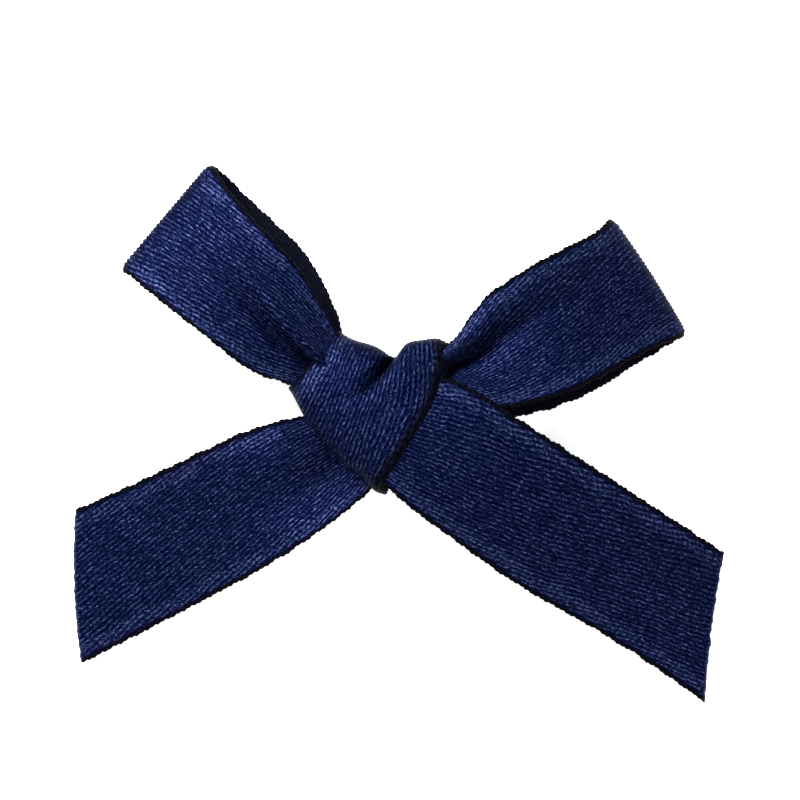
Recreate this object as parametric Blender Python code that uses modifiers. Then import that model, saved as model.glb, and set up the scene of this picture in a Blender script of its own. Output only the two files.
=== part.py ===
"""A small hair bow of satin ribbon, tied by hand and glued to a single-prong spring clip.

The bow lies face up on a surface at z = 0. +Z points out of its front, +X to its right and +Y to its top.
Sizes below are in millimetres, and MM turns them into Blender's metres.
"""

import math

import bmesh
import bpy
import numpy as np
from mathutils import Vector

MM = 0.001

# Ribbon
RIBBON_THICK = 0.4
RIBBON_ROWS = 3

# Loops: the two long edges seen from the front, from the knot out to the fold
LEFT_LOOP_LOWER = [(-5.9, 3.3), (-8.3, 4.0), (-10.8, 4.7), (-16.4, 8.9), (-20.9, 12.4)]
LEFT_LOOP_UPPER = [(-5.0, 5.4), (-5.5, 8.2), (-7.0, 11.6), (-10.8, 16.2), (-14.4, 20.38)]
RIGHT_LOOP_LOWER = [(2.2, 2.9), (5.4, 2.3), (8.9, 2.3), (14.0, 3.8), (21.7, 7.7)]
RIGHT_LOOP_UPPER = [(1.6, 4.7), (4.2, 6.3), (7.2, 10.9), (10.8, 13.4), (16.2, 16.2)]
# Side view of a loop: how far out along it and how high, over the front, round the fold and back.
# The right loop droops until its fold rests on the surface, and the clip's prong holds the left one up.
LEFT_LOOP_FRONT = [(0, 8.4), (0.25, 9.1), (0.55, 9.9), (0.86, 8.7)]
LEFT_LOOP_FOLD = (1, 6.6)
LEFT_LOOP_BACK = [(0.9, 5.0), (0.6, 5.3), (0.38, 5.6), (0.2, 6.7), (0, 7.3)]
RIGHT_LOOP_FRONT = [(0, 8.4), (0.25, 8.9), (0.6, 7.9), (0.86, 5.2)]
RIGHT_LOOP_FOLD = (1, 2.6)
RIGHT_LOOP_BACK = [(0.92, 0.2), (0.6, 3.4), (0.38, 4.9), (0.2, 6.6), (0, 7.3)]
LOOP_STEPS = 34
LEFT_BACK_SHIFT = (0.7, 0.8)
RIGHT_BACK_SHIFT = (-0.2, -0.9)

# Tails: both long edges from under the knot to the angled cut, with their heights
LEFT_TAIL_UPPER = [
    (-1.4, 2.8, 5.5), (-6.6, 1.7, 5.45), (-11.2, 0.5, 6.2), (-18.0, -2.5, 4.2), (-24.9, -5.6, 1.5),
]
LEFT_TAIL_LOWER = [
    (1.2, -0.9, 5.5), (-2.0, -4.0, 5.45), (-6.0, -7.3, 6.0), (-14.9, -12.6, 3.4), (-24.3, -17.5, 0.2),
]
RIGHT_TAIL_UPPER = [
    (0.6, 5.0, 9.2), (4.0, 4.2, 9.5), (8.8, 1.5, 9.9), (14.2, -1.9, 7.8), (24.88, -8.9, 1.3),
]
RIGHT_TAIL_LOWER = [
    (-2.6, -1.9, 9.1), (-0.6, -4.1, 9.2), (3.4, -7.3, 8.5), (9.4, -11.5, 6.3), (23.5, -20.5, 0.2),
]
TAIL_STEPS = 18

# Knot: the wrap's two long edges across its front, from the lower left bend to the top bend,
# and the bunched ribbon inside it
WRAP_LEFT = [(-7.7, 2.7), (-7.1, 5.0), (-4.6, 7.8)]
WRAP_RIGHT = [(-1.6, -4.4), (1.4, -0.2), (3.3, 3.9), (3.9, 7.3)]
WRAP_LOW = 6.05
WRAP_HIGH = 10.4
WRAP_STEPS = 36
WRAP_SQUARENESS = 0.55
CORE_CENTRE = (-2.0, 1.7, 7.8)
CORE_SIZE = (4.6, 4.0, 1.9)

# Clip: lengths run from its middle, positive towards the prong's tip, and pairs are (along, height).
# PIN_HEAD_FLAT and PAD_TOP are shares of the pin head's and the pad's own radius.
CLIP_CENTRE = (-1.74, 2.16)
CLIP_HEADING = math.radians(144)
CLIP_SHEET = 0.5
CLIP_WIDTH = 5.0
CLIP_REACH = 13.0
PLATE_HEIGHT = 4.35
PLATE_BEND_START = -6.0
PLATE_END_LIFT = 0.85
JAW_TAB = [(-12.6, 0.25), (-11.2, 0.25)]
JAW_FLOOR = 0.62
JAW_ARCH = [
    (-9.8, 0.25), (-7.2, 0.5), (-4.5, JAW_FLOOR), (1.0, 0.27),
    (5.0, 0.9), (9.0, 2.5), (10.9, 3.42), (12.6, 3.55),
]
CLIP_STEPS = 26
TIP_LENGTH = 3.0
TIP_WIDTH = 3.2
PIVOT = (-4.5, 2.3)
EAR_RADIUS = 0.95
EAR_THICK = 0.45
EAR_GAP = 0.12
PIN_RADIUS = 0.5
PIN_HEAD_RADIUS = 0.85
PIN_HEAD_LENGTH = 0.3
PIN_HEAD_FLAT = 0.7
PIN_CLEARANCE = 0.1
SPRING_WIRE = 0.4
SPRING_RADIUS = 1.05
SPRING_TURNS = 3
SPRING_PITCH = 0.45
SPRING_LEG_END = -9.6
PAD_SIZE = (8.0, 4.4, 0.32)
PAD_TOP = 0.92
PAD_EDGE = 0.12
PAD_GAP = 0.12

# How finely the round shapes are cut
ROUND_SIDES = 24
PAD_SIDES = 28
CORE_SIDES = 20
CORE_RINGS = 12
COIL_STEPS = 14
SHARP_ANGLE = math.radians(40)

# Colours are linear RGBA
NAVY = (0.012, 0.018, 0.060, 1.0)
STEEL = (0.62, 0.62, 0.60, 1.0)
GLUE = (0.80, 0.78, 0.70, 1.0)
SATIN_ROUGHNESS = 0.42
STEEL_ROUGHNESS = 0.3
GLUE_ROUGHNESS = 0.35


def clear_scene():
    for obj in list(bpy.data.objects):
        bpy.data.objects.remove(obj)


def new_collection(name):
    group = bpy.data.collections.new(name)
    bpy.context.scene.collection.children.link(group)
    return group


def material(name, colour, roughness, metallic=0.0):
    made = bpy.data.materials.new(name)
    made.use_nodes = True
    shader = made.node_tree.nodes["Principled BSDF"]
    shader.inputs["Base Color"].default_value = colour
    shader.inputs["Roughness"].default_value = roughness
    shader.inputs["Metallic"].default_value = metallic
    return made


def empty(name, location, turn=0.0, parent=None):
    frame = bpy.data.objects.new(name, None)
    parts.objects.link(frame)
    frame.location = location
    frame.rotation_euler.z = turn
    frame.parent = parent
    return frame


def finish_mesh(name, mesh_data, made_of, parent=None):
    """The bmesh as a smooth-shaded object in the parts collection, with its own material."""
    bmesh.ops.recalc_face_normals(mesh_data, faces=mesh_data.faces)
    mesh = bpy.data.meshes.new(name)
    mesh_data.to_mesh(mesh)
    mesh_data.free()
    mesh.shade_smooth()
    mesh.set_sharp_from_angle(angle=SHARP_ANGLE)
    mesh.materials.append(made_of)
    obj = bpy.data.objects.new(name, mesh)
    parts.objects.link(obj)
    obj.parent = parent
    return obj


def spline(guides, at):
    """Points at the fractions `at` of a natural cubic spline through the guide points."""
    guides = np.array(guides, float)
    chords = np.linalg.norm(np.diff(guides, axis=0), axis=1)
    knots = np.concatenate([[0.0], np.cumsum(chords)]) / chords.sum()
    gaps = np.diff(knots)[:, None]
    slopes = np.diff(guides, axis=0) / gaps
    system = np.eye(len(knots))
    bends = np.zeros_like(guides)
    for i in range(1, len(knots) - 1):
        system[i, i - 1 : i + 2] = gaps[i - 1, 0], 2 * (gaps[i - 1, 0] + gaps[i, 0]), gaps[i, 0]
        bends[i] = 6 * (slopes[i] - slopes[i - 1])
    bends = np.linalg.solve(system, bends)
    at = np.atleast_1d(at)
    part = np.clip(np.searchsorted(knots, at, side="right") - 1, 0, len(gaps) - 1)
    after = at[:, None] - knots[part][:, None]
    gap = gaps[part]
    curve = (bends[part + 1] - bends[part]) / (6 * gap)
    slope = slopes[part] - gap * (2 * bends[part] + bends[part + 1]) / 6
    return guides[part] + after * (slope + after * (bends[part] / 2 + after * curve))


def sheet(name, edge_a, edge_b, made_of, thick, closed=False, parent=None):
    """A sheet of the given thickness, ruled between two edges that hold equally many points."""
    mesh_data = bmesh.new()
    columns = len(edge_a) - 1
    bmesh.ops.create_grid(mesh_data, x_segments=columns, y_segments=RIBBON_ROWS, size=0.5)
    for vertex in mesh_data.verts:
        column = round((vertex.co.x + 0.5) * columns)
        across = vertex.co.y + 0.5
        vertex.co = Vector((edge_a[column] * (1 - across) + edge_b[column] * across) * MM)
    if closed:
        bmesh.ops.remove_doubles(mesh_data, verts=mesh_data.verts, dist=1e-6)
    obj = finish_mesh(name, mesh_data, made_of, parent)
    shell = obj.modifiers.new("thickness", "SOLIDIFY")
    shell.thickness = thick * MM
    shell.offset = 0
    shell.use_even_offset = True
    return obj


def ribbon_loop(name, lower, upper, guides, back_shift):
    """A loop: out over the front layer, round the fold, and home along the shifted back layer."""
    side = spline(guides, np.linspace(0, 1, LOOP_STEPS + 1))
    out = np.clip(side[:, 0], 0, 1)
    fold = int(np.argmax(side[:, 0]))
    behind = np.where(np.arange(len(out)) > fold, np.sin(math.pi * out), 0)
    shift = behind[:, None] * np.array(back_shift)
    edges = [np.column_stack([spline(edge, out) + shift, side[:, 1]]) for edge in (lower, upper)]
    satin = material(name, NAVY, SATIN_ROUGHNESS)
    return sheet(name, edges[0], edges[1], satin, RIBBON_THICK)


def ribbon_tail(name, lower, upper):
    along = np.linspace(0, 1, TAIL_STEPS + 1)
    satin = material(name, NAVY, SATIN_ROUGHNESS)
    return sheet(name, spline(lower, along), spline(upper, along), satin, RIBBON_THICK)


def rounded(value):
    """Pushes a sine towards a square wave, which turns an ellipse into a rounded box."""
    return np.sign(value) * np.abs(value) ** WRAP_SQUARENESS


def knot_wrap():
    turn = np.linspace(0, 2 * math.pi, WRAP_STEPS + 1)
    out = 0.5 - 0.5 * rounded(np.cos(turn))
    height = (WRAP_HIGH + WRAP_LOW) / 2 + (WRAP_HIGH - WRAP_LOW) / 2 * rounded(np.sin(turn))
    left = np.column_stack([spline(WRAP_LEFT, out), height])
    right = np.column_stack([spline(WRAP_RIGHT, out), height])
    left[-1] = left[0]
    right[-1] = right[0]
    satin = material("knot_wrap", NAVY, SATIN_ROUGHNESS)
    return sheet("knot_wrap", left, right, satin, RIBBON_THICK, closed=True)


def knot_core():
    """The ribbon bunched where the two halves of the knot cross, inside the wrap."""
    mesh_data = bmesh.new()
    bmesh.ops.create_uvsphere(mesh_data, u_segments=CORE_SIDES, v_segments=CORE_RINGS, radius=0.5)
    obj = finish_mesh("knot_core", mesh_data, material("knot_core", NAVY, SATIN_ROUGHNESS))
    for vertex in obj.data.vertices:
        vertex.co = Vector(vertex.co[i] * CORE_SIZE[i] * MM for i in range(3))
    obj.location = Vector(CORE_CENTRE) * MM
    return obj


def boolean(obj, other, operation):
    step = obj.modifiers.new(other.name, "BOOLEAN")
    step.operation = operation
    step.object = other
    step.solver = "EXACT"


def helper(mesh_data, name, parent):
    """A hidden solid that a Boolean joins to a part, or cuts from it."""
    bmesh.ops.recalc_face_normals(mesh_data, faces=mesh_data.faces)
    mesh = bpy.data.meshes.new(name)
    mesh_data.to_mesh(mesh)
    mesh_data.free()
    obj = bpy.data.objects.new(name, mesh)
    cutters.objects.link(obj)
    obj.parent = parent
    obj.hide_render = True
    obj.display_type = "WIRE"
    return obj


def box(mesh_data, low, high):
    """A box between two corners, in millimetres."""
    corner = bmesh.ops.create_cube(mesh_data, size=1.0)["verts"]
    for vertex in corner:
        vertex.co = Vector((low[i] + (high[i] - low[i]) * (vertex.co[i] + 0.5)) * MM for i in range(3))


def cross_cylinder(mesh_data, centre, radius, low, high):
    """A cylinder whose axis runs across the clip, from low to high."""
    ring = bmesh.ops.create_cone(
        mesh_data,
        cap_ends=True,
        segments=ROUND_SIDES,
        radius1=radius,
        radius2=radius,
        depth=high - low,
    )["verts"]
    for vertex in ring:
        x, y, z = vertex.co
        vertex.co = Vector((centre[0] + x, (low + high) / 2 + z, centre[1] - y)) * MM


def ear(name, low, high, far_end, parent):
    """A lug from the sheet at height far_end to a round eye on the pin's axis."""
    mesh_data = bmesh.new()
    box(
        mesh_data,
        (PIVOT[0] - EAR_RADIUS, low, min(PIVOT[1], far_end)),
        (PIVOT[0] + EAR_RADIUS, high, max(PIVOT[1], far_end)),
    )
    lug = helper(mesh_data, name, parent)
    mesh_data = bmesh.new()
    cross_cylinder(mesh_data, PIVOT, EAR_RADIUS, low, high)
    boolean(lug, helper(mesh_data, name + "_eye", parent), "UNION")
    return lug


def plate_height(along):
    """The plate's mid height: flat along the prong, then curving up to the finger end."""
    bent = np.maximum(0, (PLATE_BEND_START - along) / (PLATE_BEND_START + CLIP_REACH))
    return PLATE_HEIGHT + PLATE_END_LIFT * bent**2


def clip_sheet(name, line, parent):
    """A strip of steel sheet bent along its side view, narrowed towards the tip."""
    from_tip = np.clip((line[-1, 0] - line[:, 0]) / TIP_LENGTH, 0, 1)
    width = TIP_WIDTH + (CLIP_WIDTH - TIP_WIDTH) * np.sin(math.pi / 2 * from_tip)
    edges = [np.column_stack([line[:, 0], sign * width / 2, line[:, 1]]) for sign in (-1, 1)]
    steel = material(name, STEEL, STEEL_ROUGHNESS, metallic=1.0)
    return sheet(name, edges[0], edges[1], steel, CLIP_SHEET, parent=parent)


def add_ears(obj, outer, far_end, parent):
    """Two drilled ears whose outer faces stand at plus and minus `outer`."""
    for side, low, high in (("near", -outer, EAR_THICK - outer), ("far", outer - EAR_THICK, outer)):
        boolean(obj, ear(f"{obj.name}_ear_{side}", low, high, far_end, parent), "UNION")
    mesh_data = bmesh.new()
    cross_cylinder(mesh_data, PIVOT, PIN_RADIUS + PIN_CLEARANCE, -CLIP_WIDTH, CLIP_WIDTH)
    boolean(obj, helper(mesh_data, f"{obj.name}_drill", parent), "DIFFERENCE")


def hinge_pin(parent):
    """A turned rivet through all four ears."""
    shoulder = CLIP_WIDTH / 2 + EAR_GAP
    reach = shoulder + PIN_HEAD_LENGTH
    profile = [
        (0, reach),
        (PIN_HEAD_RADIUS * PIN_HEAD_FLAT, reach),
        (PIN_HEAD_RADIUS, reach - PIN_HEAD_LENGTH / 2),
        (PIN_HEAD_RADIUS, shoulder),
        (PIN_RADIUS, shoulder),
    ]
    profile += [(radius, -height) for radius, height in reversed(profile)]
    mesh_data = bmesh.new()
    corners = [mesh_data.verts.new((radius * MM, 0, height * MM)) for radius, height in profile]
    for first, second in zip(corners, corners[1:]):
        mesh_data.edges.new((first, second))
    mesh = bpy.data.meshes.new("hinge_pin")
    mesh_data.to_mesh(mesh)
    mesh_data.free()
    mesh.materials.append(material("hinge_pin", STEEL, STEEL_ROUGHNESS, metallic=1.0))
    obj = bpy.data.objects.new("hinge_pin", mesh)
    parts.objects.link(obj)
    obj.parent = parent
    obj.rotation_euler.x = math.pi / 2
    turned = obj.modifiers.new("turned", "SCREW")
    turned.steps = ROUND_SIDES
    turned.render_steps = ROUND_SIDES
    turned.use_merge_vertices = True
    turned.merge_threshold = 1e-6
    turned.use_smooth_shade = True
    return obj


def clip_spring(parent):
    """A torsion coil round the pin, with one leg behind the plate and one above the finger tab."""
    half = SPRING_TURNS * SPRING_PITCH / 2
    plate_leg = (SPRING_LEG_END, -half, PLATE_HEIGHT - CLIP_SHEET / 2 - SPRING_WIRE / 2 - EAR_GAP)
    tab_leg = (SPRING_LEG_END, half, JAW_FLOOR + CLIP_SHEET / 2 + SPRING_WIRE / 2 + EAR_GAP)
    turns = SPRING_TURNS + 0.5
    steps = round(COIL_STEPS * turns)
    points = [plate_leg]
    for i in range(steps + 1):
        angle = math.pi / 2 - 2 * math.pi * turns * i / steps
        x = PIVOT[0] + SPRING_RADIUS * math.cos(angle)
        z = PIVOT[1] + SPRING_RADIUS * math.sin(angle)
        points.append((x, -half + 2 * half * i / steps, z))
    points.append(tab_leg)
    curve = bpy.data.curves.new("clip_spring", "CURVE")
    curve.dimensions = "3D"
    curve.bevel_depth = SPRING_WIRE / 2 * MM
    curve.bevel_resolution = 2
    curve.use_fill_caps = True
    wire = curve.splines.new("POLY")
    wire.points.add(len(points) - 1)
    for point, place in zip(wire.points, points):
        point.co = (*(Vector(place) * MM), 1.0)
    curve.materials.append(material("clip_spring", STEEL, STEEL_ROUGHNESS, metallic=1.0))
    obj = bpy.data.objects.new("clip_spring", curve)
    parts.objects.link(obj)
    obj.parent = parent
    return obj


def glue_pad(parent):
    """The flattened drop of hot glue between the clip's plate and the knot."""
    low = PLATE_HEIGHT + CLIP_SHEET / 2 + PAD_GAP
    mesh_data = bmesh.new()
    bmesh.ops.create_cone(
        mesh_data, cap_ends=True, segments=PAD_SIDES, radius1=0.5, radius2=0.5 * PAD_TOP, depth=1.0
    )
    obj = finish_mesh("glue_pad", mesh_data, material("glue_pad", GLUE, GLUE_ROUGHNESS), parent)
    for vertex in obj.data.vertices:
        vertex.co = Vector(vertex.co[i] * PAD_SIZE[i] * MM for i in range(3))
    obj.location.z = (low + PAD_SIZE[2] / 2) * MM
    edge = obj.modifiers.new("soft_edge", "BEVEL")
    edge.width = PAD_EDGE * MM
    edge.segments = 2
    edge.limit_method = "ANGLE"
    return obj


def build_clip():
    clip = empty("clip_frame", (CLIP_CENTRE[0] * MM, CLIP_CENTRE[1] * MM, 0), CLIP_HEADING)
    pivot_at = Vector((PIVOT[0] * MM, 0, PIVOT[1] * MM))
    hinge = empty("jaw_hinge", pivot_at, parent=clip)
    jaw_space = empty("jaw_space", -pivot_at, parent=hinge)
    along = np.linspace(-CLIP_REACH, CLIP_REACH, CLIP_STEPS + 1)
    plate = clip_sheet("clip_plate", np.column_stack([along, plate_height(along)]), clip)
    add_ears(plate, CLIP_WIDTH / 2, PLATE_HEIGHT, clip)
    jaw_line = np.concatenate([JAW_TAB, spline(JAW_ARCH, np.linspace(0, 1, CLIP_STEPS))])
    jaw = clip_sheet("clip_jaw", jaw_line, jaw_space)
    add_ears(jaw, CLIP_WIDTH / 2 - EAR_THICK - EAR_GAP, JAW_FLOOR, jaw_space)
    hinge_pin(hinge)
    clip_spring(clip)
    glue_pad(clip)


clear_scene()
parts = new_collection("hair_bow")
cutters = new_collection("cutters")
left_side = LEFT_LOOP_FRONT + [LEFT_LOOP_FOLD] + LEFT_LOOP_BACK
right_side = RIGHT_LOOP_FRONT + [RIGHT_LOOP_FOLD] + RIGHT_LOOP_BACK
ribbon_loop("left_loop", LEFT_LOOP_LOWER, LEFT_LOOP_UPPER, left_side, LEFT_BACK_SHIFT)
ribbon_loop("right_loop", RIGHT_LOOP_LOWER, RIGHT_LOOP_UPPER, right_side, RIGHT_BACK_SHIFT)
ribbon_tail("left_tail", LEFT_TAIL_LOWER, LEFT_TAIL_UPPER)
ribbon_tail("right_tail", RIGHT_TAIL_LOWER, RIGHT_TAIL_UPPER)
knot_wrap()
knot_core()
build_clip()
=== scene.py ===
import math

import bpy
import numpy as np
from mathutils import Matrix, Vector


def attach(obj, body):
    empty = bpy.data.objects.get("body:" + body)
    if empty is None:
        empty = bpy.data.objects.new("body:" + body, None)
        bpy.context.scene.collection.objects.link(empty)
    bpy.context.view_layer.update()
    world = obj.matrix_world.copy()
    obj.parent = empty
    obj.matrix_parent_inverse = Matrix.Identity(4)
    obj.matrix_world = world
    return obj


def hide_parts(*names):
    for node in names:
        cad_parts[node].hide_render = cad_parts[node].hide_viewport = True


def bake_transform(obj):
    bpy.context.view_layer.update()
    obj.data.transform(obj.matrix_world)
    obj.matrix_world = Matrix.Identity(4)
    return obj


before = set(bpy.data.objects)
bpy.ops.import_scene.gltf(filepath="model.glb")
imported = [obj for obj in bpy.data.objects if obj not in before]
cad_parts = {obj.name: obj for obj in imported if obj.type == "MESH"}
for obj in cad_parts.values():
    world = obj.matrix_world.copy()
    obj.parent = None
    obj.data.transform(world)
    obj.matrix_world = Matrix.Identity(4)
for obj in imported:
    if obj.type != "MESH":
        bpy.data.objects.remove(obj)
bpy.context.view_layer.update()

# Lengths are in millimetres unless a comment says otherwise, in the model's frame:
# +Z out of the bow's front, +X to the right and +Y up.
MM = 0.001

# Ribbon: half its thickness, the cord along each edge, and the small loops that the cord makes
RIBBON_WIDTH = 10.0
RIBBON_HALF = 0.12
CORD_RADIUS = 0.16
CORD_FADE = 0.45
CORD_CORE = 0.05
CORD_SWELL = 0.35
SCALLOP_PITCH = 0.48
SCALLOP_DEPTH = 0.1
SCALLOP_REGULAR, SCALLOP_RANDOM = 0.4, 0.4
SCALLOP_SPACING = 4

# Mesh: columns along the ribbon, rows across its satin side and its dull side, and rows at its edges
COLUMN_STEP = 0.105
SATIN_STEP = 0.1
BACK_STEP = 0.42
EDGE_ROWS = (0, 0.03, 0.09, 0.18, 0.3)
TRIAL_COLUMNS = 600

# Weave: slanting rows of floats, raised more where the ribbon bends, which stray sideways in long waves
WEAVE_PITCH = 0.32
WEAVE_SLANT = math.radians(13)
WEAVE_RELIEF = 0.04
WEAVE_EDGE = (0.1, 0.5)
BENT_GAIN, BENT_RANGE = 2.2, (0.25, 0.8)
DRIFT_WAVES = ((0.06, 0.9, 0.5), (0.04, 1.7, 1.3), (0.025, 3.1, 2.9), (0.02, 5.3, 5.9))
DRIFT_EDGE = 0.8
FLOAT_LENGTH = 0.7
BACK_RIB = 0.3

# Cut ends: a bead where the cut was melted, with a slightly ragged edge
SEAL_SWELL, SEAL_AT, SEAL_WIDTH = 0.35, 0.1, 0.14
RAGGED_DEPTH, RAGGED_REACH, RAGGED_STEPS = 0.035, 0.4, 60
FAR_FROM_CUT = 50.0

# Loops: the edges of the front layer in plan, from inside the knot out to the fold
LEFT_LOOP_LOWER = [
    (-5.6, 3.0), (-8.2, 3.9), (-10.8, 4.8), (-13.6, 6.7), (-16.5, 9.0), (-21.15, 12.7),
]
LEFT_LOOP_UPPER = [
    (-3.9, 6.2), (-4.9, 8.3), (-6.3, 10.9), (-7.7, 13.0), (-10.9, 16.4), (-14.35, 20.75),
]
LEFT_LOOP_SIDE = [
    (0, 8.5), (0.2, 9.35), (0.45, 9.55), (0.82, 8.3), (1, 6.3),
    (0.9, 5.0), (0.6, 5.3), (0.38, 5.6), (0.2, 6.7), (0, 7.3),
]
RIGHT_LOOP_LOWER = [
    (2.2, 3.4), (5.4, 2.4), (8.9, 2.3), (11.5, 2.9), (14.0, 3.8), (19.1, 6.5), (22.05, 7.75),
]
RIGHT_LOOP_UPPER = [
    (2.0, 5.6), (4.1, 7.2), (6.3, 10.2), (8.0, 11.6), (10.9, 13.4), (16.65, 16.25),
]
RIGHT_LOOP_SIDE = [
    (0, 8.4), (0.25, 8.9), (0.6, 7.9), (0.86, 5.2), (1, 2.6),
    (0.92, 0.62), (0.6, 3.4), (0.38, 4.9), (0.2, 6.6), (0, 7.3),
]

# The back layer: how far it shows past the front one, how soon it does, and its share of the front's relief
LEFT_BACK_SHIFT = (0.75, 0.8)
RIGHT_BACK_SHIFT = (-0.2, -0.95)
BACK_SHIFT_ONSET = 0.6
BACK_RELIEF = -0.35

# The fold: where it begins along the layer, its rounded corners, and the bow and the nub of the right one
FOLD_START = 0.86
FOLD_CORNER = 0.3
RIGHT_FOLD_BULGE = 0.15
RIGHT_FOLD_NUB = 0.45
NUB_REACH, NUB_WIDTH = 0.06, 0.8

# Relief of each ribbon as (height, place, width): heights in millimetres, places and widths as fractions
# across it from its lower edge. Reach is how far along it, from the knot, the pleats run out.
LEFT_LOOP_REACH = 0.42
LEFT_PLEAT_START = 0.05
LEFT_ARCH, LEFT_ARCH_AT_KNOT, LEFT_ARCH_DROP = 0.25, 0.35, 0.25
LEFT_HOLLOW = (-2.0, 0.34, 0.085)
LEFT_RIDGE = (0.9, 0.49, 0.065)
LEFT_PLEAT_SLANT = 0.25
RIGHT_LOOP_REACH = 0.48
RIGHT_RIDGE, RIGHT_RIDGE_RISE = 1.35, (0.60, 0.80)
RIGHT_RIDGE_FALL, RIGHT_FALL_RANGE = 1.0, (0.86, 1.0)
RIGHT_RIDGE_ONSET = (-0.05, 0.28)
RIGHT_SINK = -0.7
RIGHT_CREASE = (-1.3, 0.64, 0.11)
RIGHT_ARCH = 0.2
LEFT_TAIL_ARCH = (0.45, 0.74, 0.22)
LEFT_TAIL_ARCH_ALONG = (0.25, 0.2)
LEFT_TAIL_HOLLOW = (-0.8, 0.40, 0.2)
LEFT_TAIL_HOLLOW_ALONG = (0.24, 0.17)
LEFT_TAIL_CROWN = 0.12
RIGHT_TAIL_CROWN, RIGHT_TAIL_FLATTEN = 0.3, 0.6

# Tails: both edges from under the knot to the cut, with their heights, and how far each cut bows
LEFT_CUT_BULGE, RIGHT_CUT_BULGE = 0.35, -0.25
CUT_BULGE_START = 0.75
LEFT_TAIL_UPPER = [
    (-1.4, 2.8, 5.5), (-7.0, 1.6, 5.55), (-9.3, 1.1, 6.1), (-11.2, 0.5, 6.3),
    (-15.3, -1.3, 5.3), (-19.7, -3.4, 3.5), (-24.7, -5.6, 1.5),
]
LEFT_TAIL_LOWER = [
    (1.2, -0.9, 5.5), (-2.0, -4.1, 5.55), (-6.0, -7.3, 6.0), (-10.0, -9.9, 5.3),
    (-14.9, -12.6, 3.5), (-19.5, -15.0, 1.8), (-24.3, -17.5, 0.2),
]
RIGHT_TAIL_UPPER = [
    (0.6, 5.0, 9.2), (4.0, 4.3, 9.5), (8.8, 1.6, 9.9), (14.2, -1.9, 7.8),
    (20.8, -6.2, 4.1), (24.95, -8.9, 1.3),
]
RIGHT_TAIL_LOWER = [
    (-2.6, -1.9, 9.1), (-0.7, -4.0, 9.2), (3.4, -7.3, 8.5), (9.4, -11.5, 6.3),
    (16.4, -15.6, 3.4), (23.5, -20.45, 0.2),
]

# Clip: a side view with X towards the prong's tip and Z up, turned to its heading on the bow's back
CLIP_CENTRE = (-1.74, 2.16)
CLIP_HEADING = math.radians(144)
CLIP_REACH = 13.0
CLIP_WIDTH = 5.0
CLIP_SHEET = 0.5
TIP_LENGTH = 3.0
TIP_WIDTH = 3.2
CORNER_RADIUS = 1.1
CORNER_CUT = 0.9
END_THINNING = 0.45
EDGE_RADIUS = 0.16
STRIP_STEPS, CORNER_STEPS, LINE_STEPS = 110, 9, 150
PLATE_HEIGHT = 4.35
PLATE_BEND_START = -6.0
PLATE_END_LIFT = 0.85
JAW_TAB = [(-12.6, 0.25), (-11.2, 0.25)]
JAW_FLOOR = 0.62
JAW_ARCH = [
    (-9.8, 0.25), (-7.2, 0.5), (-4.5, JAW_FLOOR), (1.0, 0.27),
    (5.0, 0.9), (9.0, 2.5), (10.9, 3.42), (12.6, 3.55),
]
PIVOT = (-4.5, 2.3)
EAR_RADIUS = 0.95
EAR_THICK = 0.45
EAR_GAP = 0.12
EAR_EDGE = 0.08
EAR_STEPS = 72
PIN_RADIUS = 0.5
PIN_CLEARANCE = 0.1
PIN_HEAD_RADIUS = 0.85
PIN_HEAD_LENGTH = 0.3
PIN_HEAD_RIM = 0.08
PIN_STEPS = 48
SPRING_WIRE = 0.4
SPRING_RADIUS = 1.05
SPRING_TURNS = 3
SPRING_PITCH = 0.45
SPRING_LEG_END = -9.6
SPRING_TIP_TAPER = 0.6
COIL_STEPS, LEG_STEPS, WIRE_SIDES = 150, 16, 12

# Glue: its size in plan and in height, its rim as shares of that size at shares of the height,
# and the waves of its outline as (share, waves round it, phase)
GLUE_SIZE = (8.4, 4.6)
GLUE_LOW, GLUE_HIGH = 4.6, 5.32
GLUE_RIM = ((0.90, 0.0), (0.97, 0.12), (1.0, 0.35), (0.98, 0.6), (0.92, 0.82), (0.82, 0.96), (0.7, 1.0))
GLUE_WAVES = ((0.035, 3, 0.6), (0.02, 7, 2.1))
GLUE_SQUARENESS = 0.8
GLUE_STEPS = 96

# Inside the knot: the ribbon rolled lengthways, from the left loop's side to the right tail's
CORE_CENTRE = (-2.6, 2.2, 8.0)
CORE_HEADING = math.radians(-32)
CORE_LENGTH = 8.0
CORE_HALF = (1.75, 0.72)
CORE_TURNS = 1.08
CORE_START, CORE_GROWTH = 0.86, 0.28

# Knot: where the wrap bends to the back, at its lower left and at its top, from its left edge to its right.
# Curls, crease and lobe are (height, place, width), as for the reliefs above.
WRAP_BOTTOM = [
    (-8.2, 3.75), (-7.6, 2.6), (-7.0, 1.5), (-5.9, 0.2),
    (-4.0, -1.9), (-2.3, -3.35), (-1.65, -4.1), (-0.9, -4.3),
]
WRAP_TOP = [
    (-4.6, 7.85), (-3.4, 7.2), (-1.4, 6.5), (-0.2, 5.9),
    (0.6, 6.85), (1.9, 7.2), (3.0, 7.3), (3.8, 6.9),
]
WRAP_BELLY = (1.2, -0.35)
WRAP_BELLY_START, WRAP_BELLY_BIAS = 0.45, 1.5
WRAP_FRONT, WRAP_BACK = 10.25, 6.05
WRAP_CROWN = 0.35
WRAP_TOP_DROP = 0.3
WRAP_LEFT_CURL = (1.0, 0, 0.09)
WRAP_RIGHT_CURL = (1.1, 1, 0.075)
WRAP_CREASE = (-1.7, 0.40, 0.06)
WRAP_CREASE_SLANT = 0.10
WRAP_CREASE_RANGE = (0.40, 0.95)
WRAP_LOBE = (0.35, 0.2, 0.12)
WRAP_LOBE_RANGE = (0.45, 1.0)
WRAP_FRONT_RANGE = (-0.3, 0.6)
WRAP_SQUARENESS = 0.55
# Painted shade on the wrap's right edge where it rolls under: how far in it reaches and how dark it is
WRAP_ROLL_SHADE = 1.7
RIM_SHADE = 0.9
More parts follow.
